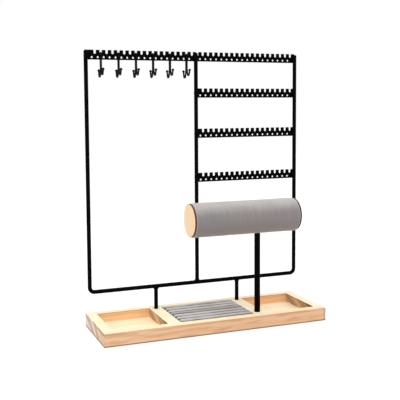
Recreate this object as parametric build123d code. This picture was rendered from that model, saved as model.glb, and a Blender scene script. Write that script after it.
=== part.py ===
from build123d import *
import math
import os

# Table-top jewelry stand: a routed pine tray carries a welded black wire frame with four toothed,
# perforated strips, six loose double hooks, a cushion of ring rolls, and a padded bracelet roll on a post.
# Millimetres. X runs along the tray, Y from front to back, Z up. The origin is the centre of the tray's underside.

# Tray, one solid board with three routed pockets
tray_length = 300.0
tray_depth = 98.0
tray_height = 17.0
tray_corner = 1.0
tray_edge_round = 0.7
rim_end = 12.5
rim_side = 10.8
divider_width = 16.6
divider_x = 58.4
pocket_depth = 11.6
pocket_corner = 1.2

# Wire frame, welded from one gauge of round rod
rod_diameter = 5.2
rod_end_round = 0.9
frame_y = 34.0
frame_post_x = 147.0
foot_bar_z = 47.2
foot_bend_radius = 6.2
post_top_gap = 1.6
weld_radius = 3.9
weld_height = 2.4
weld_sink = 0.6
weld_flat = 0.2

# Toothed strips, cut from sheet
strip_thickness = 1.0
strip_height = 12.3
strip_tops = {"top_bar": 354.6, "upper_bar": 306.9, "middle_bar": 253.5, "lower_bar": 194.5}
strip_past_rod = 1.2
pitch = 7.667
first_notch_x = -134.73
notch_count = 37
short_strip_first_notch = 19
notch_width = 3.0
notch_depth = 5.0
hole_diameter = 2.5
hole_below_top = 9.2
tooth_corner = 0.45

# Loose double hooks, bent from thin wire, astride every third notch of the top strip
hook_count = 6
hook_first_notch = 1
hook_notch_step = 3
hook_wire = 2.2
hook_leg_gap = 0.15
hook_crown_gap = 0.1
hook_ball = 3.4
hook_flare_radius = 7.0
hook_belly_radius = 2.3
hook_front = {
    "flare_drop": 16.5,
    "belly_drop": 25.7,
    "belly_in": 4.2,
    "belly_out": 9.0,
    "tip_drop": 19.0,
    "tip_out": 11.8,
}
hook_back = {
    "flare_drop": 18.5,
    "belly_drop": 28.2,
    "belly_in": 4.6,
    "belly_out": 9.6,
    "tip_drop": 20.0,
    "tip_out": 11.4,
}

# Bracelet roll and its post
post_diameter = 7.6
post_y = -30.6
roll_z = 141.7
roll_diameter = 43.0
roll_left_x = -35.0
roll_length = 147.4
roll_end_round = 1.2
disc_diameter = 41.4
disc_thickness = 2.2
disc_edge_round = 0.3
cover_thickness = 1.4
tube_wall = 2.0
anchor_length = 26.0
anchor_height = 22.0
insert_diameter = 8.0
insert_length = 12.0
insert_seat = 1.0
post_bite = 0.3

# Ring cushion, seven wrapped foam rolls on a board
ring_roll_count = 7
ring_roll_gap = 0.16
ring_crown_rise = 1.0
ring_end_gap = 1.0
ring_shoulder = 4.7
ring_foot_inset = 0.5
ring_end_round = 2.8
board_thickness = 2.0
board_gap = 0.5

# Threaded ends and their nuts, sunk under the tray
fit_gap = 0.1
frame_thread = 4.0
frame_nut_across = 7.0
frame_nut_height = 3.2
frame_washer = (9.0, 0.8)
frame_counterbore = (11.0, 6.0)
post_thread = 5.0
post_nut_across = 8.0
post_nut_height = 4.0
post_washer = (10.0, 1.0)
post_counterbore = (12.5, 7.0)
thread_stop = 1.0

cut_margin = 1.0
near = 0.01
rod_radius = rod_diameter / 2
strip_front_y = frame_y + rod_radius - weld_flat
strip_middle_y = strip_front_y + strip_thickness / 2
frame_top_z = strip_tops["top_bar"] - post_top_gap
pocket_floor_z = tray_height - pocket_depth
pocket_width = tray_depth - 2 * rim_side
centre_pocket_length = 2 * divider_x - divider_width
side_pocket_inner_x = divider_x + divider_width / 2
side_pocket_outer_x = tray_length / 2 - rim_end
roll_radius = roll_diameter / 2
roll_right_x = roll_left_x + roll_length
tube_radius = roll_radius - cover_thickness
tube_bore_radius = tube_radius - tube_wall
roll_bottom_z = roll_z - roll_radius
leg_places = [(-divider_x, frame_y), (divider_x, frame_y)]


def cylinder_up(x, y, z_low, z_high, radius):
    return Pos(x, y, (z_low + z_high) / 2) * Cylinder(radius, z_high - z_low)


def cylinder_along_x(x_low, x_high, y, z, radius):
    return Pos((x_low + x_high) / 2, y, z) * Rot(0, 90, 0) * Cylinder(radius, x_high - x_low)


def level_edges(solid, z):
    return [edge for edge in solid.edges() if edge.bounding_box().size.Z < near and abs(edge.center().Z - z) < near]


def pocket(x_low, x_high):
    outline = Pos((x_low + x_high) / 2, 0) * RectangleRounded(x_high - x_low, pocket_width, pocket_corner)
    return Pos(0, 0, pocket_floor_z) * extrude(outline, pocket_depth + cut_margin)


def through_hole(x, y, thread):
    return cylinder_up(x, y, -cut_margin, tray_height + cut_margin, thread / 2 + fit_gap)


def counterbore(x, y, size):
    diameter, depth = size
    return cylinder_up(x, y, -cut_margin, depth, diameter / 2)


def make_tray():
    board = extrude(RectangleRounded(tray_length, tray_depth, tray_corner), tray_height)
    board = fillet(level_edges(board, tray_height) + level_edges(board, 0), tray_edge_round)
    board -= pocket(-side_pocket_outer_x, -side_pocket_inner_x)
    board -= pocket(side_pocket_inner_x, side_pocket_outer_x)
    board -= pocket(-centre_pocket_length / 2, centre_pocket_length / 2)
    for x, y in leg_places:
        board -= through_hole(x, y, frame_thread)
        board -= counterbore(x, y, frame_counterbore)
    board -= through_hole(divider_x, post_y, post_thread)
    board -= counterbore(divider_x, post_y, post_counterbore)
    return board


def notch_x(index):
    return first_notch_x + pitch * index


def make_strip(top_z, x_low, x_high, notches):
    low_z = top_z - strip_height
    blank = Pos((x_low + x_high) / 2, top_z - strip_height / 2) * Rectangle(x_high - x_low, strip_height)
    slot_depth = notch_depth - notch_width / 2
    cuts = []
    for index in notches:
        x = notch_x(index)
        cuts.append(Pos(x, top_z - slot_depth / 2) * Rectangle(notch_width, slot_depth))
        cuts.append(Pos(x, top_z - slot_depth) * Circle(notch_width / 2))
        cuts.append(Pos(x - pitch / 2, top_z - hole_below_top) * Circle(hole_diameter / 2))
    profile = blank - cuts
    tips = [v for v in profile.vertices() if abs(v.Y - top_z) < near]
    profile = fillet(tips, tooth_corner)
    feet = [v for v in profile.vertices() if abs(v.Y - low_z) < near]
    profile = fillet(feet, tooth_corner)
    sheet = extrude(profile, strip_thickness)
    return Pos(0, strip_front_y + strip_thickness, 0) * Rot(90, 0, 0) * sheet


def make_strips():
    right_x = frame_post_x + strip_past_rod
    strips = {}
    for name, top_z in strip_tops.items():
        if name == "top_bar":
            strips[name] = make_strip(top_z, -right_x, right_x, range(notch_count))
        else:
            strips[name] = make_strip(top_z, -strip_past_rod, right_x, range(short_strip_first_notch, notch_count))
    return strips


def make_frame_rod():
    corners = [
        (-frame_post_x, frame_y, frame_top_z),
        (-frame_post_x, frame_y, foot_bar_z),
        (frame_post_x, frame_y, foot_bar_z),
        (frame_post_x, frame_y, frame_top_z),
    ]
    path = FilletPolyline(*corners, radius=foot_bend_radius)
    section = Plane(origin=path @ 0, z_dir=path % 0) * Circle(rod_radius)
    rod = sweep(section, path=path)
    return fillet(level_edges(rod, frame_top_z), rod_end_round)


def make_centre_post(frame_rod):
    post = cylinder_up(0, frame_y, foot_bar_z, frame_top_z, rod_radius)
    post = fillet(level_edges(post, frame_top_z), rod_end_round)
    weld_z = foot_bar_z + rod_radius - weld_sink + weld_height / 2
    post += Pos(0, frame_y, weld_z) * Cone(weld_radius, rod_radius, weld_height)
    return post - frame_rod


def make_leg(x, y, frame_rod):
    leg = cylinder_up(x, y, tray_height, foot_bar_z, rod_radius)
    weld_z = foot_bar_z - rod_radius + weld_sink - weld_height / 2
    leg += Pos(x, y, weld_z) * Cone(rod_radius, weld_radius, weld_height)
    leg += cylinder_up(x, y, thread_stop, tray_height, frame_thread / 2)
    return leg - frame_rod


def hook_side(side, shape, crown_z, leg_offset):
    outline = [
        (leg_offset, crown_z),
        (leg_offset, crown_z - shape["flare_drop"]),
        (shape["belly_in"], crown_z - shape["belly_drop"]),
        (shape["belly_out"], crown_z - shape["belly_drop"]),
        (shape["tip_out"], crown_z - shape["tip_drop"]),
    ]
    points = [(0, strip_middle_y + side * out, z) for out, z in outline]
    return FilletPolyline(*points, radius=[hook_flare_radius, hook_belly_radius, hook_belly_radius])


def make_hook(x):
    notch_floor_z = strip_tops["top_bar"] - notch_depth
    leg_offset = strip_thickness / 2 + hook_leg_gap + hook_wire / 2
    inner_radius = leg_offset - hook_wire / 2
    corner_rise = math.sqrt(inner_radius**2 - (strip_thickness / 2) ** 2)
    crown_z = notch_floor_z + hook_crown_gap - corner_rise
    back = hook_side(1, hook_back, crown_z, leg_offset)
    front = hook_side(-1, hook_front, crown_z, leg_offset)
    crown = ThreePointArc(
        (0, strip_middle_y + leg_offset, crown_z),
        (0, strip_middle_y, crown_z + leg_offset),
        (0, strip_middle_y - leg_offset, crown_z),
    )
    path = Wire([*back.edges(), crown, *front.edges()])
    hook = sweep(Plane(origin=path @ 0, z_dir=path % 0) * Circle(hook_wire / 2), path=path)
    for tip in (back @ 1, front @ 1):
        hook += Pos(*tip) * Sphere(hook_ball / 2)
    return Pos(x, 0, 0) * hook


def make_post():
    post = cylinder_up(divider_x, post_y, tray_height, roll_bottom_z + post_bite, post_diameter / 2)
    post += cylinder_up(divider_x, post_y, thread_stop, tray_height, post_thread / 2)
    thread_top_z = roll_z - tube_bore_radius + insert_length
    return post + cylinder_up(divider_x, post_y, roll_bottom_z, thread_top_z, post_thread / 2)


def end_edges(solid, x_low, x_high):
    return [edge for edge in solid.edges() if min(abs(edge.center().X - x_low), abs(edge.center().X - x_high)) < near]


def make_roll(post):
    inner_left = roll_left_x + disc_thickness
    inner_right = roll_right_x - disc_thickness
    shank = cylinder_up(divider_x, post_y, roll_bottom_z - cut_margin, roll_z, post_thread / 2 + fit_gap)
    cover = cylinder_along_x(inner_left, inner_right, post_y, roll_z, roll_radius)
    cover = fillet(end_edges(cover, inner_left, inner_right), roll_end_round)
    cut_left = inner_left - cut_margin
    cut_right = inner_right + cut_margin
    cover -= cylinder_along_x(cut_left, cut_right, post_y, roll_z, tube_radius)
    tube = cylinder_along_x(inner_left, inner_right, post_y, roll_z, tube_radius)
    tube -= cylinder_along_x(cut_left, cut_right, post_y, roll_z, tube_bore_radius)
    anchor_low_z = roll_z - tube_bore_radius
    anchor = cylinder_along_x(
        divider_x - anchor_length / 2, divider_x + anchor_length / 2, post_y, roll_z, tube_bore_radius
    )
    anchor &= Pos(divider_x, post_y, anchor_low_z) * Box(
        anchor_length, 2 * roll_radius, anchor_height, align=(Align.CENTER, Align.CENTER, Align.MIN)
    )
    insert_low_z = anchor_low_z + insert_seat
    insert_top_z = insert_low_z + insert_length
    anchor -= cylinder_up(divider_x, post_y, insert_low_z, roll_z + roll_radius, insert_diameter / 2)
    insert = cylinder_up(divider_x, post_y, insert_low_z, insert_top_z, insert_diameter / 2)
    parts = {
        "roll_cover": cover - shank - post,
        "roll_tube": tube - shank,
        "roll_anchor": anchor - shank,
        "roll_insert": insert - shank,
    }
    for name, x_low in (("roll_end_left", roll_left_x), ("roll_end_right", inner_right)):
        disc = cylinder_along_x(x_low, x_low + disc_thickness, post_y, roll_z, disc_diameter / 2)
        parts[name] = fillet(end_edges(disc, roll_left_x, roll_right_x), disc_edge_round)
    return parts


def make_ring_cushion():
    board_top_z = pocket_floor_z + board_thickness
    board = Pos(0, 0, pocket_floor_z) * extrude(
        RectangleRounded(centre_pocket_length - 2 * board_gap, pocket_width - 2 * board_gap, pocket_corner),
        board_thickness,
    )
    parts = {"ring_board": board}
    roll_pitch = pocket_width / ring_roll_count
    half = (roll_pitch - ring_roll_gap) / 2
    height = tray_height + ring_crown_rise - board_top_z
    length = centre_pocket_length - 2 * ring_end_gap
    for index in range(ring_roll_count):
        y = (index - (ring_roll_count - 1) / 2) * roll_pitch
        foot = half - ring_foot_inset
        outline = Polyline((-half, height - ring_shoulder), (-foot, 0), (foot, 0), (half, height - ring_shoulder))
        crown = ThreePointArc((half, height - ring_shoulder), (0, height), (-half, height - ring_shoulder))
        section = Plane.YZ * make_face([*outline.edges(), crown])
        roll = extrude(section, length / 2, both=True)
        shoulders = [edge for edge in end_edges(roll, -length / 2, length / 2) if edge.center().Z > near]
        roll = fillet(shoulders, ring_end_round)
        parts[f"ring_roll_{index + 1}"] = Pos(0, y, board_top_z) * roll
    return parts


def make_nut(x, y, z_low, across, height, thread):
    outline = RegularPolygon(across / 2, 6, major_radius=False)
    nut = Pos(x, y, z_low) * extrude(outline, height)
    return nut - cylinder_up(x, y, z_low - cut_margin, z_low + height + cut_margin, thread / 2 + fit_gap)


def make_washer(x, y, z_high, size, thread):
    diameter, thickness = size
    washer = cylinder_up(x, y, z_high - thickness, z_high, diameter / 2)
    return washer - cylinder_up(x, y, z_high - 2 * thickness, z_high + cut_margin, thread / 2 + fit_gap)


def make_fasteners():
    nuts = []
    washers = []
    seat_z = frame_counterbore[1]
    for x, y in leg_places:
        washers.append(make_washer(x, y, seat_z, frame_washer, frame_thread))
        nut_z = seat_z - frame_washer[1] - frame_nut_height
        nuts.append(make_nut(x, y, nut_z, frame_nut_across, frame_nut_height, frame_thread))
    seat_z = post_counterbore[1]
    nut_z = seat_z - post_washer[1] - post_nut_height
    return {
        "frame_nuts": Compound(nuts),
        "frame_washers": Compound(washers),
        "post_nut": make_nut(divider_x, post_y, nut_z, post_nut_across, post_nut_height, post_thread),
        "post_washer": make_washer(divider_x, post_y, seat_z, post_washer, post_thread),
    }


def main():
    parts = {"tray_base": make_tray()}
    strips = make_strips()
    frame_rod = make_frame_rod() - strips["top_bar"]
    centre_post = make_centre_post(frame_rod)
    for strip in strips.values():
        centre_post -= strip
        frame_rod -= strip
    parts.update(strips)
    parts["frame_rod"] = frame_rod
    parts["centre_post"] = centre_post
    for name, (x, y) in zip(("frame_leg_left", "frame_leg_right"), leg_places):
        parts[name] = make_leg(x, y, frame_rod)
    for index in range(hook_count):
        parts[f"hook_{index + 1}"] = make_hook(notch_x(hook_first_notch + hook_notch_step * index))
    parts["bracelet_post"] = make_post()
    parts.update(make_roll(parts["bracelet_post"]))
    parts.update(make_ring_cushion())
    parts.update(make_fasteners())
    os.makedirs("parts", exist_ok=True)
    for name, part in parts.items():
        part.label = name
        export_step(part, f"parts/{name}.step")
    print(len(parts), "pieces written")


main()
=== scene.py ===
import math

import bmesh
import bpy
from mathutils import Matrix, Vector, noise


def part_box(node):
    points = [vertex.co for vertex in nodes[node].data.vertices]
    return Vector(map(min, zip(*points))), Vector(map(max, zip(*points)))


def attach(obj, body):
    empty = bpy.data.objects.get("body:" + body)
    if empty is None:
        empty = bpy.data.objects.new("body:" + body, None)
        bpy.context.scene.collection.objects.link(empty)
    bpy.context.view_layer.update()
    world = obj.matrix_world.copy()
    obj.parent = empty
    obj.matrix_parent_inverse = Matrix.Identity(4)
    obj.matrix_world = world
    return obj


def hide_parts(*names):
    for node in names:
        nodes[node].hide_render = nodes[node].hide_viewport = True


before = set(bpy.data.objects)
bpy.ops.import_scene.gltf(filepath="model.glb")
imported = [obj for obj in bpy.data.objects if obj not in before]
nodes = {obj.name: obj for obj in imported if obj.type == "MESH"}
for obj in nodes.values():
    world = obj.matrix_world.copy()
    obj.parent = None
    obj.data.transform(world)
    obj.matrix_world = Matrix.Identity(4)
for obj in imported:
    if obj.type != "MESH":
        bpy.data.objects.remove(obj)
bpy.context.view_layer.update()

mm = 0.001  # everything in Blender is in metres
print("frame loaded,", len(nodes), "cad nodes")


# --- shader expressions and finishes

def pick(sockets, key):
    if isinstance(key, int):
        return sockets[key]
    return next(socket for socket in sockets if socket.enabled and socket.name == key)


class Expression:  # the output of a node, so that shader maths reads as plain arithmetic
    def __init__(self, finish, node, output=0):
        self.finish = finish
        self.node = node
        self.socket = pick(node.outputs, output) if node.outputs else None

    def out(self, output):
        return Expression(self.finish, self.node, output)

    def math(self, operation, *others):
        return self.finish.math(operation, self, *others)

    def __add__(self, other):
        return self.math("ADD", other)

    def __radd__(self, other):
        return self.finish.math("ADD", other, self)

    def __sub__(self, other):
        return self.math("SUBTRACT", other)

    def __rsub__(self, other):
        return self.finish.math("SUBTRACT", other, self)

    def __mul__(self, other):
        return self.math("MULTIPLY", other)

    def __rmul__(self, other):
        return self.finish.math("MULTIPLY", other, self)

    def __truediv__(self, other):
        return self.math("DIVIDE", other)

    def __abs__(self):
        return self.math("ABSOLUTE")


class Finish:  # a material, or the world, being put together
    def __init__(self, name, owner=None):
        self.material = owner or bpy.data.materials.new(name)
        self.material.use_nodes = True
        self.tree = self.material.node_tree
        self.tree.nodes.clear()

    def add(self, kind, settings=(), sockets=(), output=0):
        node = self.tree.nodes.new(kind)
        for name, value in dict(settings).items():
            setattr(node, name, value)
        for key, value in dict(sockets).items():
            if isinstance(value, Expression):
                self.tree.links.new(value.socket, pick(node.inputs, key))
            else:
                pick(node.inputs, key).default_value = value
        return Expression(self, node, output)

    def math(self, operation, *values):
        return self.add("ShaderNodeMath", {"operation": operation}, dict(enumerate(values)))

    def place(self):  # object coordinates in millimetres
        coordinates = self.add("ShaderNodeTexCoord", output="Object")
        return self.scaled(coordinates, 1 / mm, 1 / mm, 1 / mm)

    def facing(self):  # which way the surface looks, by parts
        normal = self.add("ShaderNodeTexCoord", output="Normal")
        return self.parts(normal)

    def parts(self, vector):
        split = self.add("ShaderNodeSeparateXYZ", {}, {0: vector})
        return split.out("X"), split.out("Y"), split.out("Z")

    def scaled(self, vector, x, y, z):
        return self.add("ShaderNodeVectorMath", {"operation": "MULTIPLY"}, {0: vector, 1: (x, y, z)})

    def noise(self, place, stretch=None, scale=1.0, detail=2.0, roughness=0.5):
        vector = self.scaled(place, *stretch) if stretch else place
        sockets = {"Vector": vector, "Scale": scale, "Detail": detail, "Roughness": roughness}
        return self.add("ShaderNodeTexNoise", {}, sockets)

    def swing(self, place, **wanted):  # a noise about nought
        return self.noise(place, **wanted) - 0.5

    def ease(self, value, low, high):  # 0 at low, 1 at high, smooth between
        sockets = {"Value": value, "From Min": low, "From Max": high}
        return self.add("ShaderNodeMapRange", {"interpolation_type": "SMOOTHSTEP"}, sockets)

    def hump(self, value, rise, fall):  # up over one span and down again over the other
        return self.ease(value, *rise) * (1 - self.ease(value, *fall))

    def blend(self, share, first, second):
        sockets = {"Factor": share, "A": first, "B": second}
        return self.add("ShaderNodeMix", {"data_type": "RGBA"}, sockets, "Result")

    def layers(self, colour, *coats):  # each coat is a share, and the tone it lays over the rest
        for share, tone in coats:
            colour = self.blend(share, colour, tone)
        return colour

    def bump(self, height, strength, distance):
        sockets = {"Height": height, "Strength": strength, "Distance": distance}
        return self.add("ShaderNodeBump", {}, sockets)

    def surface(self, **sockets):
        named = {name.replace("_", " "): value for name, value in sockets.items()}
        shader = self.add("ShaderNodeBsdfPrincipled", {}, named)
        self.add("ShaderNodeOutputMaterial", {}, {"Surface": shader})
        return self.material


def weigh(patterns, shares, total=0.0):  # adds patterns up, each by its share
    for name, share in shares.items():
        total = total + patterns[name] * share
    return total


def shade(red, green, blue):  # a colour as a picture editor gives it, made linear
    linear = [((part / 255 + 0.055) / 1.055) ** 2.4 for part in (red, green, blue)]
    return (*linear, 1.0)


# --- camera, light and floor

camera = {
    "place": (-0.3593096, -0.8892711, 0.2832563),
    "yaw": -0.37593,
    "pitch": 0.08253,
    "roll": -0.00578,
    "lens": 67.1861,
    "sensor": 36.0,
    "shiftUp": -0.08,
    "nearest": 0.05,
}


def makeCamera():
    yaw, pitch, roll = camera["yaw"], camera["pitch"], camera["roll"]
    ahead = Vector((-math.sin(yaw) * math.cos(pitch), math.cos(yaw) * math.cos(pitch), -math.sin(pitch)))
    right = Vector((math.cos(yaw), math.sin(yaw), 0))
    up = right.cross(ahead)
    tiltedRight = math.cos(roll) * right + math.sin(roll) * up
    tiltedUp = -math.sin(roll) * right + math.cos(roll) * up
    data = bpy.data.cameras.new("photoCamera")
    data.sensor_width = camera["sensor"]
    data.lens = camera["lens"]
    data.shift_y = camera["shiftUp"]
    data.clip_start = camera["nearest"]
    viewer = bpy.data.objects.new("photoCamera", data)
    bpy.context.scene.collection.objects.link(viewer)
    turn = Matrix((tiltedRight, tiltedUp, -ahead)).transposed()
    viewer.matrix_world = Matrix.Translation(camera["place"]) @ turn.to_4x4()
    bpy.context.scene.camera = viewer


studio = {
    "white": (1, 1, 1, 1),
    "worldSide": 0.74,  # light from the walls of the tent
    "worldTop": 1.08,
    "lamps": {
        "softbox": {"power": 11.0, "size": 1.6, "place": (-0.55, -0.8, 1.7)},
        "rightFill": {"power": 3.0, "size": 1.0, "place": (1.2, 0.1, 0.9)},
    },
    "aim": (0, 0, 0.1),
    "floorSize": 8.0,
    "floorDrop": 0.4 * mm,
    "floorTone": (0.5, 0.5, 0.5, 1),
    "floorGlow": 0.55,  # for the camera, so that the floor reads white
    "floorLift": 0.24,  # for all other rays
}


def seenDirectly(finish):  # 1 for the camera, mirrors and glass
    path = finish.add("ShaderNodeLightPath", output="Is Camera Ray")
    seen = path.math("MAXIMUM", path.out("Is Glossy Ray"))
    return seen.math("MAXIMUM", path.out("Is Transmission Ray"))


def makeWorld():
    world = bpy.data.worlds.new("softTent")
    bpy.context.scene.world = world
    finish = Finish("softTent", world)
    direction = finish.add("ShaderNodeTexCoord", output="Generated")
    height = finish.parts(direction)[2]
    side, top = studio["worldSide"], studio["worldTop"]
    tent = side + finish.ease(height, 0.0, 1.0) * (top - side)
    seen = seenDirectly(finish)
    strength = seen + (1 - seen) * tent
    sky = finish.add("ShaderNodeBackground", {}, {"Color": studio["white"], "Strength": strength})
    finish.add("ShaderNodeOutputWorld", {}, {"Surface": sky})


def makeLamps():
    for name, wanted in studio["lamps"].items():
        data = bpy.data.lights.new(name, "AREA")
        data.shape = "DISK"
        data.size = wanted["size"]
        data.energy = wanted["power"]
        lamp = bpy.data.objects.new(name, data)
        lamp.location = wanted["place"]
        aim = Vector(studio["aim"]) - Vector(wanted["place"])
        lamp.rotation_euler = aim.to_track_quat("-Z", "Y").to_euler()
        bpy.context.scene.collection.objects.link(lamp)


def makeFloor():
    bpy.ops.mesh.primitive_plane_add(size=studio["floorSize"], location=(0, 0, -studio["floorDrop"]))
    floor = bpy.context.object
    floor.name = "studioFloor"
    finish = Finish("paleFloor")
    seen = seenDirectly(finish)
    glow = studio["floorLift"] + seen * (studio["floorGlow"] - studio["floorLift"])
    paper = finish.add("ShaderNodeBsdfDiffuse", {}, {"Color": studio["floorTone"]}, "BSDF")
    light = finish.add("ShaderNodeEmission", {}, {"Color": studio["white"], "Strength": glow})
    lit = finish.add("ShaderNodeAddShader", {}, {0: paper, 1: light})
    below = finish.add("ShaderNodeNewGeometry", output="Backfacing")  # open when looked at from underneath
    clear = finish.add("ShaderNodeBsdfTransparent")
    mixed = finish.add("ShaderNodeMixShader", {}, {0: below, 1: lit, 2: clear})
    finish.add("ShaderNodeOutputMaterial", {}, {"Surface": mixed})
    floor.data.materials.append(finish.material)


bpy.ops.object.select_all(action="DESELECT")
bpy.context.scene.view_settings.view_transform = "Standard"
makeCamera()
makeWorld()
makeLamps()
makeFloor()
print("camera, light and floor ready")


# --- wood, one board with its growth rings running through it

pine = {
    "ringCentre": (66.0, -88.0),  # y and z of the heart of the trunk, behind and below the board
    "ringPitch": 5.4,
    "ringWander": 4.5,
    "ringWaver": 0.3,
    "ringContrast": 0.7,  # between the weakest and the strongest ring
    "lateRise": (0.2, 0.88),  # the dark late wood of each ring
    "fineRise": (0.3, 0.9),
    "ringFall": (0.92, 1.0),
    "finePerRing": 3.0,
    "yearsPace": 0.33,  # runs of good and poor years, wider than one ring
    "noises": {  # stretch is how fast one changes along x, y and z, per millimetre
        "bend": {"stretch": (0.005, 0.012, 0.012), "detail": 1.0},
        "lean": {"stretch": (0.011, 0.01, 0.01), "scale": 1.3, "detail": 1.0},
        "waver": {"stretch": (0.03, 0.4, 0.4)},
        "fibre": {"stretch": (0.02, 2.2, 2.2), "detail": 3.0, "roughness": 0.6},
        "cloud": {"stretch": (0.012, 0.09, 0.09)},
        "pores": {"stretch": (0.05, 3.2, 3.2), "roughness": 0.7},
        "streak": {"stretch": (0.028, 0.3, 0.3)},
        "linePatches": {"stretch": (0.02, 0.02, 0.3)},
    },
    "bands": {"years": (0.4, 0.62), "pores": (0.55, 0.75), "streak": (0.5, 0.68), "linePatches": (0.3, 0.6)},
    "grain": {"late": 0.45, "fine": 0.15, "fibre": 0.9, "cloud": 0.6, "years": 0.35},
    "grainLevel": -0.89,
    "endGrain": {"late": 0.45, "fine": 0.2, "openPores": 0.2, "years": 0.5},
    "endGrainLevel": -0.2,
    "tones": {
        "topEarly": shade(252, 241, 207),
        "topLate": shade(243, 213, 166),
        "topWarm": shade(255, 229, 204),  # warmer toward the right end: painted shade, as less light falls there than at the left
        "rim": shade(243, 211, 170),  # the narrow rim in front of the pockets
        "floorEarly": shade(254, 242, 206),  # the bottom of the pockets, painted paler to make up for the shade of the pocket walls
        "floorLate": shade(250, 222, 176),
        # the long walls inside the pockets, painted brighter and more orange for the light bounced inside
        # them
        "pocketEarly": shade(252, 206, 160),
        "pocketLate": shade(228, 166, 116),
        # painted shadow line along the top of the long pocket walls
        "pocketLine": shade(170, 132, 92),
        "sideEarly": shade(245, 201, 161),
        "sideLate": shade(206, 152, 106),
        "line": shade(196, 146, 98),  # a darker line just under the top edge
        # painted shade on the rounded upright corner at the right end
        "cornerGrey": shade(170, 156, 138),
        "endEarly": shade(255, 230, 214),
        "endLate": shade(136, 102, 70),
        "endFront": shade(244, 214, 174),  # the near part of the left end, browner
        "endLine": shade(142, 116, 74),
        "wallEarly": shade(232, 188, 144),  # end grain inside the pockets, rubbed brown by the router and darkened further by painted shade inside the pockets
        "wallLate": shade(112, 78, 42),
        # painted shade on the pocket end walls: at the front top corner, along the top, and toward the
        # right
        "wallCorner": shade(104, 74, 40),
        # painted contact shadow along the bottom edge
        "contactShade": shade(88, 68, 54),
    },
    "facing": {"end": (0.55, 0.8), "flat": (0.45, 0.8)},
    "spans": {  # where a change starts and is full along x, y or z, in millimetres
        "pocketSide": (38.6, 39.1),
        "warm": (10.0, 90.0),
        "rim": (-38.0, -42.0),
        "rimRipe": (-20.0, 130.0),
        "sideRipe": (-120.0, 0.0),  # the board darkens a little away from its left end
        "endFront": (20.0, -40.0),
        "lineRise": (13.6, 14.6),
        "lineFall": (15.6, 16.6),
        "wallFront": (-4.0, -28.0),
        "wallRight": (60.0, 100.0),
    },
    "depths": {  # the same, down from the top of the board
        "sunk": (5.0, 3.0),
        "pocketLine": (1.8, 0.6),
        "wallCorner": (9.0, 2.0),
        "wallTop": (2.2, 0.8),
    },
    "insets": {"outerEnd": (6.0, 5.0), "cornerGrey": (4.5, 1.2)},  # the same, in from its ends
    "shares": {
        "warm": 0.55,
        "warmSunk": 0.6,  # how much of that the pockets lose
        "rim": 0.3,
        "rimRipe": 0.6,
        "streak": 0.45,
        "sideRipe": 0.2,
        "line": 0.6,
        "cornerGrey": 0.75,
        "pocketLine": 0.55,
        "endLine": 0.25,
        "endLineFront": 0.6,
        "arris": 2.4,  # painted shade along the sharp upright corners
        "contactShade": 0.9,
    },
    "wallShares": {"corner": 0.75, "top": 0.3, "right": 0.15},
    "contactShadeHeight": 1.9,
    "contactShadeHeightEnd": 0.8,  # more than that at the ends
    "contactShadeFade": 0.5,
    "relief": {"late": 0.5, "fibre": 0.6},
    "reliefPores": 0.8,
    "rough": 0.52,
    "roughFibre": 0.2,
    "specular": 0.3,
    "bump": (0.35, 0.25 * mm),
}


def woodPatterns(finish, place):
    noises, bands = pine["noises"], pine["bands"]
    y, z = finish.parts(place)[1:]
    heartY, heartZ = pine["ringCentre"]
    wander = 2 * pine["ringWander"]
    offY = y - heartY + wander * finish.swing(place, **noises["bend"])
    offZ = z - heartZ + wander * finish.swing(place, **noises["lean"])
    radius = (offY * offY + offZ * offZ).math("SQRT")
    waver = finish.noise(place, **noises["waver"])
    turns = radius / pine["ringPitch"] + waver * pine["ringWaver"]
    ring = {"W": turns.math("FLOOR")}
    strong = finish.add("ShaderNodeTexWhiteNoise", {"noise_dimensions": "1D"}, ring, "Value")
    strength = strong * pine["ringContrast"] + (1 - pine["ringContrast"])
    fine = (turns * pine["finePerRing"] + waver).math("FRACT")
    run = {"W": turns * pine["yearsPace"], "Scale": 1.0, "Detail": 1.0}
    years = finish.add("ShaderNodeTexNoise", {"noise_dimensions": "1D"}, run)
    pores = finish.noise(place, **noises["pores"])
    return {
        "late": finish.hump(turns.math("FRACT"), pine["lateRise"], pine["ringFall"]) * strength,
        "fine": finish.hump(fine, pine["fineRise"], pine["ringFall"]),
        "years": finish.ease(years, *bands["years"]),
        "fibre": finish.noise(place, **noises["fibre"]),
        "cloud": finish.noise(place, **noises["cloud"]),
        "pores": pores,
        "openPores": finish.ease(pores, *bands["pores"]),
        "streak": finish.ease(finish.noise(place, **noises["streak"]), *bands["streak"]),
        "linePatches": finish.ease(finish.noise(place, **noises["linePatches"]), *bands["linePatches"]),
    }


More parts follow.
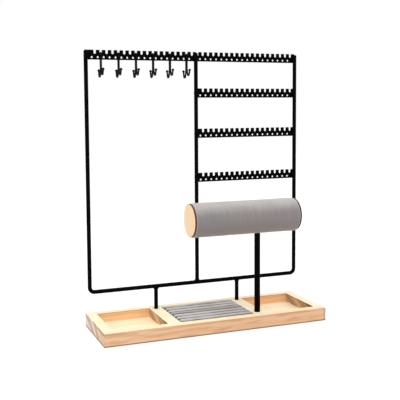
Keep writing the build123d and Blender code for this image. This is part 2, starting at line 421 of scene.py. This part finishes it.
def makePine():
    finish = Finish("pine")
    place = finish.place()
    x, y, z = finish.parts(place)
    facing = finish.facing()
    tones, spans, shares = pine["tones"], pine["spans"], pine["shares"]
    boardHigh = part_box("tray_base")[1] / mm

    def underTop(name):
        return [boardHigh.z - depth for depth in pine["depths"][name]]

    def fromEnd(name):
        return [boardHigh.x - inset for inset in pine["insets"][name]]

    isEnd = finish.ease(abs(facing[0]), *pine["facing"]["end"])
    isFlat = finish.ease(abs(facing[2]), *pine["facing"]["flat"])
    outerEnd = finish.ease(abs(x), *fromEnd("outerEnd"))
    inside = (1 - finish.ease(abs(y), *spans["pocketSide"])) * (1 - outerEnd)
    sunk = 1 - finish.ease(z, *underTop("sunk"))
    wood = woodPatterns(finish, place)
    grain = weigh(wood, pine["grain"], pine["grainLevel"])
    endGrain = weigh(wood, pine["endGrain"], pine["endGrainLevel"])

    # pocket floors painted paler to make up for the shade of the pocket walls
    floorColour = finish.blend(grain, tones["floorEarly"], tones["floorLate"])
    # toward the right end the top and the front rim turn warmer and darker: painted shade, as less light
    # falls there than at the left
    warm = finish.ease(x, *spans["warm"]) * (1 - sunk * shares["warmSunk"])
    ripeRim = finish.ease(x, *spans["rimRipe"]) * shares["rimRipe"] + shares["rim"]
    # the top faces are paler than the sides: partly face grain against edge grain, partly a painted
    # highlight from the light overhead
    topColour = finish.layers(
        finish.blend(grain, tones["topEarly"], tones["topLate"]),
        (sunk, floorColour),
        (warm * shares["warm"], tones["topWarm"]),
        (finish.ease(y, *spans["rim"]) * ripeRim, tones["rim"]),
    )

    line = finish.hump(z, spans["lineRise"], spans["lineFall"])
    ripe = finish.ease(x, *spans["sideRipe"]) * shares["sideRipe"]
    # the long pocket walls: painted bounce light
    pocketColour = finish.layers(
        finish.blend(grain, tones["pocketEarly"], tones["pocketLate"]),
        # painted shadow line along the top of the pocket walls
        (finish.ease(z, *underTop("pocketLine")) * shares["pocketLine"], tones["pocketLine"]),
    )
    sideColour = finish.layers(
        finish.blend(grain, tones["sideEarly"], tones["sideLate"]),
        (wood["streak"] * shares["streak"] + ripe, tones["sideLate"]),
        # the darker line under the top edge, broken into patches by a noise
        (line * wood["linePatches"] * shares["line"], tones["line"]),
        # painted shade at the rounded corner of the right end
        (finish.ease(x, *fromEnd("cornerGrey")) * shares["cornerGrey"], tones["cornerGrey"]),
        (inside, pocketColour),
    )

    toFront = finish.ease(y, *spans["endFront"])
    # painted shade on the pocket end walls: at the front top corner, along the top, and toward the right
    wallParts = {
        "corner": finish.ease(y, *spans["wallFront"]) * finish.ease(z, *underTop("wallCorner")),
        "top": finish.ease(z, *underTop("wallTop")),
        "right": finish.ease(x, *spans["wallRight"]),
    }
    wallColour = finish.layers(
        finish.blend(endGrain, tones["wallEarly"], tones["wallLate"]),
        (weigh(wallParts, pine["wallShares"]), tones["wallCorner"]),
    )
    endColour = finish.layers(
        finish.blend(toFront, tones["endEarly"], tones["endFront"]),
        (endGrain, tones["endLate"]),
        (line * (shares["endLine"] + toFront * shares["endLineFront"]), tones["endLine"]),
    )

    # painted shade along the rounded upright corners at the ends of the board
    arris = isEnd * (1 - isEnd) * shares["arris"] * outerEnd * (1 - isFlat)
    # painted contact shadow along the bottom edge, where the board meets the floor
    contactShadeTop = pine["contactShadeHeight"] + isEnd * pine["contactShadeHeightEnd"]
    contactShade = 1 - finish.ease(z, contactShadeTop * pine["contactShadeFade"], contactShadeTop)
    colour = finish.layers(
        sideColour,
        (isFlat, topColour),
        (isEnd, finish.blend(outerEnd, wallColour, endColour)),
        (arris, tones["endLine"]),
        (contactShade * shares["contactShade"] * (1 - isFlat), tones["contactShade"]),
    )
    height = weigh(wood, pine["relief"]) + isEnd * wood["pores"] * pine["reliefPores"]
    return finish.surface(
        Base_Color=colour,
        Roughness=pine["rough"] + wood["fibre"] * pine["roughFibre"],
        Specular_IOR_Level=pine["specular"],
        Normal=finish.bump(height, *pine["bump"]),
    )


disc = {
    "axis": (-30.6, 141.7),  # y and z of the middle of the roll
    "radius": 20.7,
    "face": shade(255, 226, 186),
    "faceDark": shade(255, 204, 154),
    "facePale": shade(255, 244, 222),  # paler along the rear edge of the left disc: a painted highlight from the light on the left
    # the right disc's burnt edge is darker than the left one's: painted shade on the same plywood
    "burnt": {"left": shade(104, 66, 42), "right": shade(28, 18, 13)},  # the sawn edge
    "burntDark": {"left": shade(48, 30, 21), "right": shade(12, 8, 7)},
    "noises": {
        "veneer": {"stretch": (1.0, 0.9, 0.03), "detail": 3.0, "roughness": 0.6},
        "cloud": {"stretch": (0.1, 0.06, 0.02), "detail": 1.0},
        "char": {"stretch": (1.2, 0.5, 0.5), "detail": 3.0, "roughness": 0.6},
    },
    "figureBand": (0.4, 0.72),
    "streaks": {"figure": 0.55, "cloud": 0.8},
    "streakLevel": -0.28,
    "paleSpan": (0.3, 1.0),  # shares of the radius, toward the back
    "paleShare": 0.7,
    "scorchInset": (0.7, 0.1),  # the face is singed near its rim
    "plyPitch": 0.83,
    "plies": {"ply": 0.6, "char": 0.9},
    "plyLevel": -0.36,
    "faceFacing": (0.5, 0.85),
    "rough": {"char": 0.25},
    "roughLevel": 0.5,
    "relief": {"veneer": 0.6, "char": 0.4},
    "specular": 0.3,
    "bump": (0.3, 0.15 * mm),
}


def makePlywood(side):
    finish = Finish(f"plywood_{side}")
    place = finish.place()
    x, y, z = finish.parts(place)
    offY = y - disc["axis"][0]
    offZ = z - disc["axis"][1]
    radius = (offY * offY + offZ * offZ).math("SQRT")
    wood = {name: finish.noise(place, **wanted) for name, wanted in disc["noises"].items()}
    wood["figure"] = finish.ease(wood["veneer"], *disc["figureBand"])
    wood["ply"] = (x / disc["plyPitch"]).math("PINGPONG", 1.0)
    # painted highlight along the rear edge of the face
    pale = finish.ease(offY, *(part * disc["radius"] for part in disc["paleSpan"]))
    scorched = finish.ease(radius, *(disc["radius"] - inset for inset in disc["scorchInset"]))
    face = finish.layers(
        disc["face"],
        (weigh(wood, disc["streaks"], disc["streakLevel"]), disc["faceDark"]),
        (pale * disc["paleShare"], disc["facePale"]),
        (scorched, disc["burnt"][side]),
    )
    plies = weigh(wood, disc["plies"], disc["plyLevel"])
    edge = finish.blend(plies, disc["burnt"][side], disc["burntDark"][side])
    isFace = finish.ease(abs(finish.facing()[0]), *disc["faceFacing"])
    return finish.surface(
        Base_Color=finish.blend(isFace, edge, face),
        Roughness=weigh(wood, disc["rough"], disc["roughLevel"]),
        Specular_IOR_Level=disc["specular"],
        Normal=finish.bump(weigh(wood, disc["relief"]), *disc["bump"]),
    )


# --- coats, metals and boards

coat = {
    "blackCoat": {"tone": shade(2, 2, 3), "dust": shade(9, 9, 10), "rough": 0.42, "specular": 0.025},
    "hookCoat": {"tone": shade(6, 6, 7), "dust": shade(16, 16, 18), "rough": 0.28, "specular": 0.07},
    "noises": {
        "peel": {"scale": 0.9},
        "patch": {"scale": 0.05, "detail": 3.0},
        "specks": {"scale": 2.6, "detail": 1.0},
    },
    "specksBand": (0.66, 0.8),
    "dustShares": {"patch": 0.35, "specks": 0.4},
    "roughShares": {"patch": 0.16, "specks": 0.1},
    "relief": {"peel": 1.0, "specks": 0.2},
    "bump": (0.18, 0.12 * mm),
}


def makeCoat(name):
    finish = Finish(name)
    kind = coat[name]
    place = finish.place()
    paint = {part: finish.noise(place, **wanted) for part, wanted in coat["noises"].items()}
    paint["specks"] = finish.ease(paint["specks"], *coat["specksBand"])
    return finish.surface(
        Base_Color=finish.blend(weigh(paint, coat["dustShares"]), kind["tone"], kind["dust"]),
        Roughness=weigh(paint, coat["roughShares"], kind["rough"]),
        Specular_IOR_Level=kind["specular"],
        Normal=finish.bump(weigh(paint, coat["relief"]), *coat["bump"]),
    )


metal = {
    "brass": {"bright": shade(222, 190, 116), "dull": shade(160, 124, 66), "rough": 0.25},
    "zinc": {"bright": shade(206, 208, 210), "dull": shade(150, 152, 156), "rough": 0.28},
    "tarnish": {"scale": 0.35, "detail": 4.0, "roughness": 0.6},
    "tarnishBand": (0.35, 0.7),
    "tarnishRough": 0.25,
    "turned": {"stretch": (0.3, 0.3, 5.0)},  # marks of the lathe
    "bump": (0.15, 0.05 * mm),
}


def makeMetal(name):
    finish = Finish(name)
    kind = metal[name]
    place = finish.place()
    tarnish = finish.noise(place, **metal["tarnish"])
    turned = finish.noise(place, **metal["turned"])
    return finish.surface(
        Base_Color=finish.blend(finish.ease(tarnish, *metal["tarnishBand"]), kind["bright"], kind["dull"]),
        Metallic=1.0,
        Roughness=kind["rough"] + tarnish * metal["tarnishRough"],
        Normal=finish.bump(turned, *metal["bump"]),
    )


board = {
    "cardboard": {"light": shade(196, 164, 124), "dark": shade(150, 118, 84)},
    "darkBoard": {"light": shade(96, 92, 92), "dark": shade(60, 57, 57)},
    "pulp": {"scale": 0.8, "detail": 4.0, "roughness": 0.7},
    "pulpShare": 0.6,
    "pulpRough": 0.2,
    "layer": {"stretch": (0.05, 0.05, 2.0)},
    "layerShare": 0.4,
    "rough": 0.75,
    "specular": 0.25,
    "bump": (0.3, 0.1 * mm),
}


def makeBoard(name):  # a matted pulp
    finish = Finish(name)
    kind = board[name]
    place = finish.place()
    pulp = finish.noise(place, **board["pulp"])
    layer = finish.noise(place, **board["layer"])
    share = pulp * board["pulpShare"] + layer * board["layerShare"]
    return finish.surface(
        Base_Color=finish.blend(share, kind["light"], kind["dark"]),
        Roughness=board["rough"] + pulp * board["pulpRough"],
        Specular_IOR_Level=board["specular"],
        Normal=finish.bump(pulp, *board["bump"]),
    )


# --- velvet

velvet = {
    "noises": {
        "pile": {"scale": 3.4, "roughness": 0.7},
        "patch": {"scale": 0.045},
        "tint": {"scale": 0.03, "detail": 1.0},
    },
    "ruffle": {"pile": 0.5, "brushed": 0.8, "patch": 0.5},
    "ruffleLevel": -0.9,
    "ruffleBelow": 0.6,
    # painted shade on faces that look down
    "below": (-0.7, 0.2),
    "warm": shade(150, 136, 130),
    "warmBand": (0.45, 0.7),
    "warmShare": 0.3,
    "rough": 0.76,
    "pileRough": 0.2,
    "specular": 0.1,
    "sheen": 0.5,
    "sheenRough": 0.4,
    "sheenTint": shade(250, 248, 250),
    "relief": {"pile": 0.6, "brushed": 0.4},
    "bump": (0.5, 0.18 * mm),
}
rollPile = {
    "light": shade(179, 176, 174),  # painted highlight: the pile lighter where it faces up, toward the light
    "middle": shade(137, 132, 131),
    "dark": shade(141, 131, 128),
    "rise": (0.22, 1.05),  # upward tilt from the middle tone to the light one
    "brushed": {"stretch": (0.55, 0.05, 0.05), "detail": 3.0, "roughness": 0.55},
    "edge": shade(214, 202, 196),  # paler near the ends of the roll
    "edgeSpan": (1.5, 0.75),  # in from each end
    "edgeShares": (0.3, 0.75),
}
padPile = {
    # painted highlight where the pile faces up
    "light": shade(198, 195, 193),
    "middle": shade(150, 144, 141),
    "dark": shade(104, 97, 94),
    "rise": (0.35, 0.95),
    "brushed": {"stretch": (0.06, 0.5, 0.5), "detail": 3.0, "roughness": 0.55},
    "middleRoll": shade(128, 118, 114),  # the middle ring roll, a darker tone
    "middleRollSpan": (6.0, 4.2),  # away from its middle line
    "middleRollShare": 0.5,
    "slit": shade(76, 69, 65),  # painted shade low down between two rolls
    "slitTilt": (0.93, 0.45),
    "slitSide": (0.3, 0.65),
    "crushed": {"stretch": (0.09, 0.09, 0.02), "detail": 1.0},
    "crushedBand": (0.38, 0.56),
    "crushedShare": 0.5,
}


def makeVelvet(name, tones):
    finish = Finish(name)
    place = finish.place()
    x, y = finish.parts(place)[:2]
    ny, nz = finish.facing()[1:]
    pile = {part: finish.noise(place, **wanted) for part, wanted in velvet["noises"].items()}
    pile["brushed"] = finish.noise(place, **tones["brushed"])
    ruffle = weigh(pile, velvet["ruffle"], velvet["ruffleLevel"])
    # painted highlight on faces that look up, painted shade on faces that look down
    above = finish.ease(nz, *tones["rise"])
    below = 1 - finish.ease(nz, *velvet["below"])
    tint = finish.ease(pile["tint"], *velvet["warmBand"])
    colour = finish.layers(
        tones["middle"],
        (above + ruffle, tones["light"]),
        (below + ruffle * velvet["ruffleBelow"], tones["dark"]),
        (tint * velvet["warmShare"], velvet["warm"]),
    )
    if "edge" in tones:
        coverLow, coverHigh = (corner.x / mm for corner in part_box("roll_cover"))
        nearLow = finish.ease(x, *(coverLow + inset for inset in tones["edgeSpan"]))
        nearHigh = finish.ease(x, *(coverHigh - inset for inset in tones["edgeSpan"]))
        leftShare, rightShare = tones["edgeShares"]
        colour = finish.blend(nearLow * leftShare + nearHigh * rightShare, colour, tones["edge"])
    if "slit" in tones:
        middleRoll = finish.ease(abs(y), *tones["middleRollSpan"])
        crushed = finish.ease(finish.noise(place, **tones["crushed"]), *tones["crushedBand"])
        # painted shade on the steep sides of the rolls, low in the slits between them, broken into patches
        # by a noise
        low = finish.ease(nz, *tones["slitTilt"]) * finish.ease(abs(ny), *tones["slitSide"])
        colour = finish.layers(
            colour,
            (middleRoll * tones["middleRollShare"], tones["middleRoll"]),
            (low * (crushed * tones["crushedShare"] + (1 - tones["crushedShare"])), tones["slit"]),
        )
    return finish.surface(
        Base_Color=colour,
        Roughness=velvet["rough"] + pile["pile"] * velvet["pileRough"],
        Specular_IOR_Level=velvet["specular"],
        Sheen_Weight=velvet["sheen"],
        Sheen_Roughness=velvet["sheenRough"],
        Sheen_Tint=velvet["sheenTint"],
        Normal=finish.bump(weigh(pile, velvet["relief"]), *velvet["bump"]),
    )


pineFinish = makePine()
plyLeft = makePlywood("left")
plyRight = makePlywood("right")
coatFinish = makeCoat("blackCoat")
hookFinish = makeCoat("hookCoat")
rollVelvet = makeVelvet("rollVelvet", rollPile)
padVelvet = makeVelvet("padVelvet", padPile)
cardFinish = makeBoard("cardboard")
darkBoard = makeBoard("darkBoard")
brassFinish = makeMetal("brass")
zincFinish = makeMetal("zinc")

finishOf = {
    "tray_base": pineFinish,
    "roll_anchor": plyLeft,
    "roll_end_left": plyLeft,
    "roll_end_right": plyRight,
    "roll_cover": rollVelvet,
    "roll_tube": cardFinish,
    "roll_insert": brassFinish,
    "ring_board": darkBoard,
    "frame_nuts": zincFinish,
    "frame_washers": zincFinish,
    "post_nut": zincFinish,
    "post_washer": zincFinish,
}
for nodeName, node in nodes.items():
    if nodeName.startswith("hook_"):
        chosen = hookFinish
    elif nodeName.startswith("ring_roll"):
        chosen = padVelvet
    else:
        chosen = finishOf.get(nodeName, coatFinish)
    for materialSlot in node.material_slots:
        materialSlot.material = chosen
print("finishes on the cad nodes")


# --- modelling helpers

def clampTo(value, low, high):
    return max(low, min(high, value))


def bell(distance, reach):  # 1 in the middle, a seventh at reach
    return math.exp(-2 * (distance / reach) ** 2)


def activate(piece):
    bpy.ops.object.select_all(action="DESELECT")
    piece.select_set(True)
    bpy.context.view_layer.objects.active = piece


def editMesh(piece, kind="FACE"):
    activate(piece)
    bpy.ops.object.mode_set(mode="EDIT")
    bpy.ops.mesh.select_mode(type=kind)
    bpy.ops.mesh.select_all(action="DESELECT")


def selectEdges(piece, isWanted):  # picks by the places of an edge's two corners, in edit mode
    bpy.ops.mesh.select_all(action="DESELECT")
    grid = bmesh.from_edit_mesh(piece.data)
    for edge in grid.edges:
        edge.select_set(isWanted(*(corner.co for corner in edge.verts)))
    grid.select_flush_mode()
    bmesh.update_edit_mesh(piece.data)


def leaveEdit():
    bpy.ops.object.mode_set(mode="OBJECT")


def resizeAll(piece, value, middle):
    editMesh(piece)
    bpy.ops.mesh.select_all(action="SELECT")
    bpy.ops.transform.resize(value=value, center_override=middle)
    leaveEdit()


def smooth(piece):  # one subdivision, then smooth shading
    activate(piece)
    modifier = piece.modifiers.new("subsurf", "SUBSURF")
    modifier.levels = 1
    modifier.render_levels = 1
    bpy.ops.object.modifier_apply(modifier=modifier.name)
    bpy.ops.object.shade_smooth()


def settle(piece, finish, body="stand"):  # place goes into the mesh, and the piece onto its body
    activate(piece)
    bpy.ops.object.transform_apply(location=True, rotation=True, scale=True)
    piece.data.materials.clear()
    piece.data.materials.append(finish)
    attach(piece, body)


def newPiece(name):
    piece = bpy.context.object
    piece.name = name
    piece.data.name = name
    return piece


# --- the velvet that covers the bracelet roll

cover = {
    "sides": 96,
    "rings": 70,  # cuts along the roll
    "endRound": 1.3 * mm,
    "endSteps": 4,
    "skinDepth": 1.95 * mm,  # what lies deeper than this keeps its shape
    "seamAngle": 250.0,  # degrees round from the front, underneath and behind
    "seamHalf": 1.1 * mm,
    "seamDepth": 0.55 * mm,
    "unevenness": 0.22 * mm,
    "swells": ((38, 1.0), (110, 0.5)),  # changes per metre, and share
    "dimple": 0.7 * mm,  # where the post pulls the velvet in
    "dimpleReach": 7.0 * mm,
    "boreGap": 0.05 * mm,  # round the tube
    "endSlack": 0.01 * mm,  # for finding the end rims
    "skinSlack": 0.02 * mm,  # for finding the outer skin
}


def makeCover():
    low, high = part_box("roll_cover")
    middle = (low + high) / 2
    length = high.x - low.x
    radius = (high.y - low.y) / 2
    lying = (0, math.pi / 2, 0)
    bpy.ops.mesh.primitive_cylinder_add(
        vertices=cover["sides"], radius=radius, depth=length, end_fill_type="NOTHING", rotation=lying
    )
    piece = newPiece("velvetRollCover")
    bpy.ops.object.transform_apply(rotation=True)

    def isEndEdge(a, b):
        return min(abs(a.x), abs(b.x)) > length / 2 - cover["endSlack"] and a.x * b.x > 0

    def isOuter(point):
        return math.hypot(point.y, point.z) > radius - cover["skinSlack"]

    def isLong(a, b):
        return abs(a.x - b.x) > length / 2 and isOuter(a) and isOuter(b)

    editMesh(piece, "EDGE")
    selectEdges(piece, isEndEdge)
    bpy.ops.mesh.extrude_region_move()
    tubeLow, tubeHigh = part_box("roll_tube")
    inward = ((tubeHigh.y - tubeLow.y) / 2 + cover["boreGap"]) / radius
    bpy.ops.transform.resize(value=(1, inward, inward), center_override=(0, 0, 0))
    bpy.ops.mesh.bridge_edge_loops()  # the two inner rims become the bore
    bpy.ops.mesh.select_all(action="SELECT")
    bpy.ops.mesh.normals_make_consistent(inside=False)
    selectEdges(piece, lambda a, b: isEndEdge(a, b) and isOuter(a) and isOuter(b))
    bpy.ops.mesh.bevel(offset=cover["endRound"], segments=cover["endSteps"])
    selectEdges(piece, isLong)
    bpy.ops.mesh.subdivide(number_cuts=cover["rings"])
    leaveEdit()

    seam = math.radians(cover["seamAngle"])
    seamWay = Vector((0, -math.cos(seam), math.sin(seam)))  # measured from the front over the top
    postLow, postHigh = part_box("bracelet_post")
    foot = Vector(((postLow.x + postHigh.x) / 2 - middle.x, 0, -radius))
    for corner in piece.data.vertices:
        outward = Vector((0, corner.co.y, corner.co.z))
        if outward.length < radius - cover["skinDepth"]:
            continue
        outward.normalize()
        swell = sum(share * noise.noise(corner.co * pace) for pace, share in cover["swells"])
        fromSeam = math.acos(clampTo(outward.dot(seamWay), -1, 1)) * radius
        fromPost = (corner.co - foot).length
        push = swell * cover["unevenness"]
        push -= cover["seamDepth"] * bell(fromSeam, cover["seamHalf"])
        push -= cover["dimple"] * bell(fromPost, cover["dimpleReach"])
        corner.co += outward * push
    piece.location = middle
    smooth(piece)
    settle(piece, rollVelvet)
    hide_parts("roll_cover")


makeCover()
print("velvet cover on the bracelet roll")


# --- the ring cushion, foam rolls blown up under velvet

ringRoll = {
    "count": 7,
    "enlarge": 10.0,  # cloth settles best at about ten times this size
    "startShrink": (0.985, 0.93, 0.95),
    "topRound": 5.0 * mm,
    "topSteps": 6,
    "endRound": 2.6 * mm,
    "endSteps": 4,
    "voxel": 1.3 * mm,
    "gluedHeight": 3.0 * mm,
    "quality": 6,
    "pressure": 3.0,
    "slack": 0.0,
    "frames": 18,
    "mostMove": 1.3 * mm,
    "nestle": 0.03 * mm,  # how far a roll may press into the next
    "unevenness": 0.1 * mm,
    "wanderPace": 60,  # changes per metre
    "wanderStep": 3.7,
    "puffUp": 0.9 * mm,  # past the cad roll, so that the back wall is hidden as in the photo
    "puffEnd": 0.75 * mm,
    "nearby": 0.1 * mm,  # for finding edges
}


def inflate(piece, unit):  # cloth with pressure, its foot glued to the board
    glued = piece.vertex_groups.new(name="glued")
    glueTop = min(corner.co.z for corner in piece.data.vertices) + ringRoll["gluedHeight"] * unit
    foot = [corner.index for corner in piece.data.vertices if corner.co.z < glueTop]
    glued.add(foot, 1.0, "REPLACE")
    rest = [corner.co.copy() for corner in piece.data.vertices]
    activate(piece)
    cloth = piece.modifiers.new("cloth", "CLOTH")
    cloth.settings.quality = ringRoll["quality"]
    cloth.settings.vertex_group_mass = glued.name
    cloth.settings.use_pressure = True
    cloth.settings.uniform_pressure_force = ringRoll["pressure"]
    cloth.settings.shrink_min = ringRoll["slack"]
    cloth.settings.effector_weights.gravity = 0
    for step in range(1, ringRoll["frames"] + 1):
        bpy.context.scene.frame_set(step)
    bpy.ops.object.modifier_apply(modifier=cloth.name)
    bpy.context.scene.frame_set(1)
    most = ringRoll["mostMove"] * unit
    for corner, start in zip(piece.data.vertices, rest):
        move = corner.co - start
        if move.length > most:
            corner.co = start + move.normalized() * most


def makeRingRoll():
    low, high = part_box("ring_roll_4")
    unit = ringRoll["enlarge"]
    size = (high - low) * unit
    middle = (low + high) / 2 * unit
    bpy.ops.mesh.primitive_cube_add(size=1, location=middle, scale=size)
    piece = newPiece("ringRoll")
    bpy.ops.object.transform_apply(location=True, scale=True)
    nearby = ringRoll["nearby"]
    topEdge = high.z * unit - nearby
    editMesh(piece, "EDGE")
    selectEdges(piece, lambda a, b: min(a.z, b.z) > topEdge and abs(a.x - b.x) > size.x / 2)
    bpy.ops.mesh.bevel(offset=ringRoll["topRound"] * unit, segments=ringRoll["topSteps"])
    selectEdges(piece, lambda a, b: abs(a.x - b.x) < nearby and max(a.z, b.z) > low.z * unit + size.z / 2)
    bpy.ops.mesh.bevel(offset=ringRoll["endRound"] * unit, segments=ringRoll["endSteps"])
    leaveEdit()
    resizeAll(piece, ringRoll["startShrink"], (middle.x, middle.y, low.z * unit))
    piece.data.remesh_voxel_size = ringRoll["voxel"] * unit
    bpy.ops.object.voxel_remesh()
    inflate(piece, unit)
    resizeAll(piece, (1 / unit, 1 / unit, 1 / unit), (0, 0, 0))
    reachX = max(corner.co.x for corner in piece.data.vertices)
    reachZ = max(corner.co.z for corner in piece.data.vertices)
    middle /= unit
    grow = (high.x + ringRoll["puffEnd"] - middle.x) / (reachX - middle.x)
    rise = (high.z + ringRoll["puffUp"] - low.z) / (reachZ - low.z)
    resizeAll(piece, (grow, 1, rise), (middle.x, middle.y, low.z))
    smooth(piece)
    piece.vertex_groups.clear()
    return piece


def placeRingRolls():
    model = makeRingRoll()
    modelMiddle = sum(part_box("ring_roll_4"), Vector()) / 2
    nestle, puffUp, puffEnd = ringRoll["nestle"], ringRoll["puffUp"], ringRoll["puffEnd"]
    for number in range(1, ringRoll["count"] + 1):
        nodeName = f"ring_roll_{number}"
        low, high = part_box(nodeName)
        piece = model.copy()
        piece.data = model.data.copy()
        piece.name = f"velvetRingRoll_{number}"
        piece.data.name = piece.name
        bpy.context.scene.collection.objects.link(piece)
        shift = (low + high) / 2 - modelMiddle
        ownNoise = Vector((0, number * ringRoll["wanderStep"], 0))
        for corner in piece.data.vertices:
            place = corner.co + shift
            place += noise.noise_vector(place * ringRoll["wanderPace"] + ownNoise) * ringRoll["unevenness"]
            place.x = clampTo(place.x, low.x - puffEnd, high.x + puffEnd)
            place.y = clampTo(place.y, low.y - nestle, high.y + nestle)
            place.z = clampTo(place.z, low.z, high.z + puffUp)
            corner.co = place
        settle(piece, padVelvet)
        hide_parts(nodeName)
    bpy.data.objects.remove(model)


placeRingRolls()
print("ring cushion rolls in place")


# --- tack welds where the strips meet the rods

weld = {
    "radius": 0.6 * mm,
    "tip": 0.55,  # the bead starts with this share of its radius
    "step": 0.8 * mm,
    "grows": (1.7, 0.82, 1.25, 0.82, 1.25, 0.55),  # a bead swells and thins from step to step
    "sides": 10,
    "inside": (1.9 * mm, 2.0 * mm),  # beside and behind the rod's middle line
    "outside": (1.5 * mm, 2.35 * mm),
    "rods": {
        "top_bar": ("left", "centre", "right"),
        "upper_bar": ("centre", "right"),
        "middle_bar": ("centre", "right"),
        "lower_bar": ("centre", "right"),
    },
}


def makeBead(place):
    bottom = place - Vector((0, 0, weld["step"] * len(weld["grows"]) / 2))
    bpy.ops.mesh.primitive_circle_add(
        vertices=weld["sides"], radius=weld["radius"] * weld["tip"], fill_type="NGON", location=bottom
    )
    bead = newPiece("weldBead")
    bpy.ops.object.transform_apply(location=True)
    editMesh(bead)
    bpy.ops.mesh.select_all(action="SELECT")
    level = bottom.z
    for grow in weld["grows"]:
        bpy.ops.mesh.extrude_region_move(TRANSFORM_OT_translate={"value": (0, 0, weld["step"])})
        level += weld["step"]
        bpy.ops.transform.resize(value=(grow, grow, 1), center_override=(place.x, place.y, level))
    bpy.ops.mesh.select_all(action="SELECT")
    bpy.ops.mesh.normals_make_consistent(inside=False)
    leaveEdit()
    smooth(bead)
    return bead


def makeWelds():
    frameLow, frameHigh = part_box("frame_rod")
    rodRadius = (frameHigh.y - frameLow.y) / 2
    rodY = (frameHigh.y + frameLow.y) / 2
    rodX = {"left": frameLow.x + rodRadius, "centre": 0.0, "right": frameHigh.x - rodRadius}
    for bar, rods in weld["rods"].items():
        low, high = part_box(bar)
        level = (low.z + high.z) / 2
        beads = []
        for rod in rods:
            for side in (-1, 1):
                past = low.x if side < 0 else high.x
                isOutside = abs(past - rodX[rod]) < rodRadius
                beside, behind = weld["outside"] if isOutside else weld["inside"]
                beads.append(makeBead(Vector((rodX[rod] + side * beside, rodY + behind, level))))
        activate(beads[0])
        for bead in beads:
            bead.select_set(True)
        bpy.ops.object.join()
        piece = newPiece(f"{bar}_welds")
        settle(piece, coatFinish)


makeWelds()
print("tack welds on the strips")
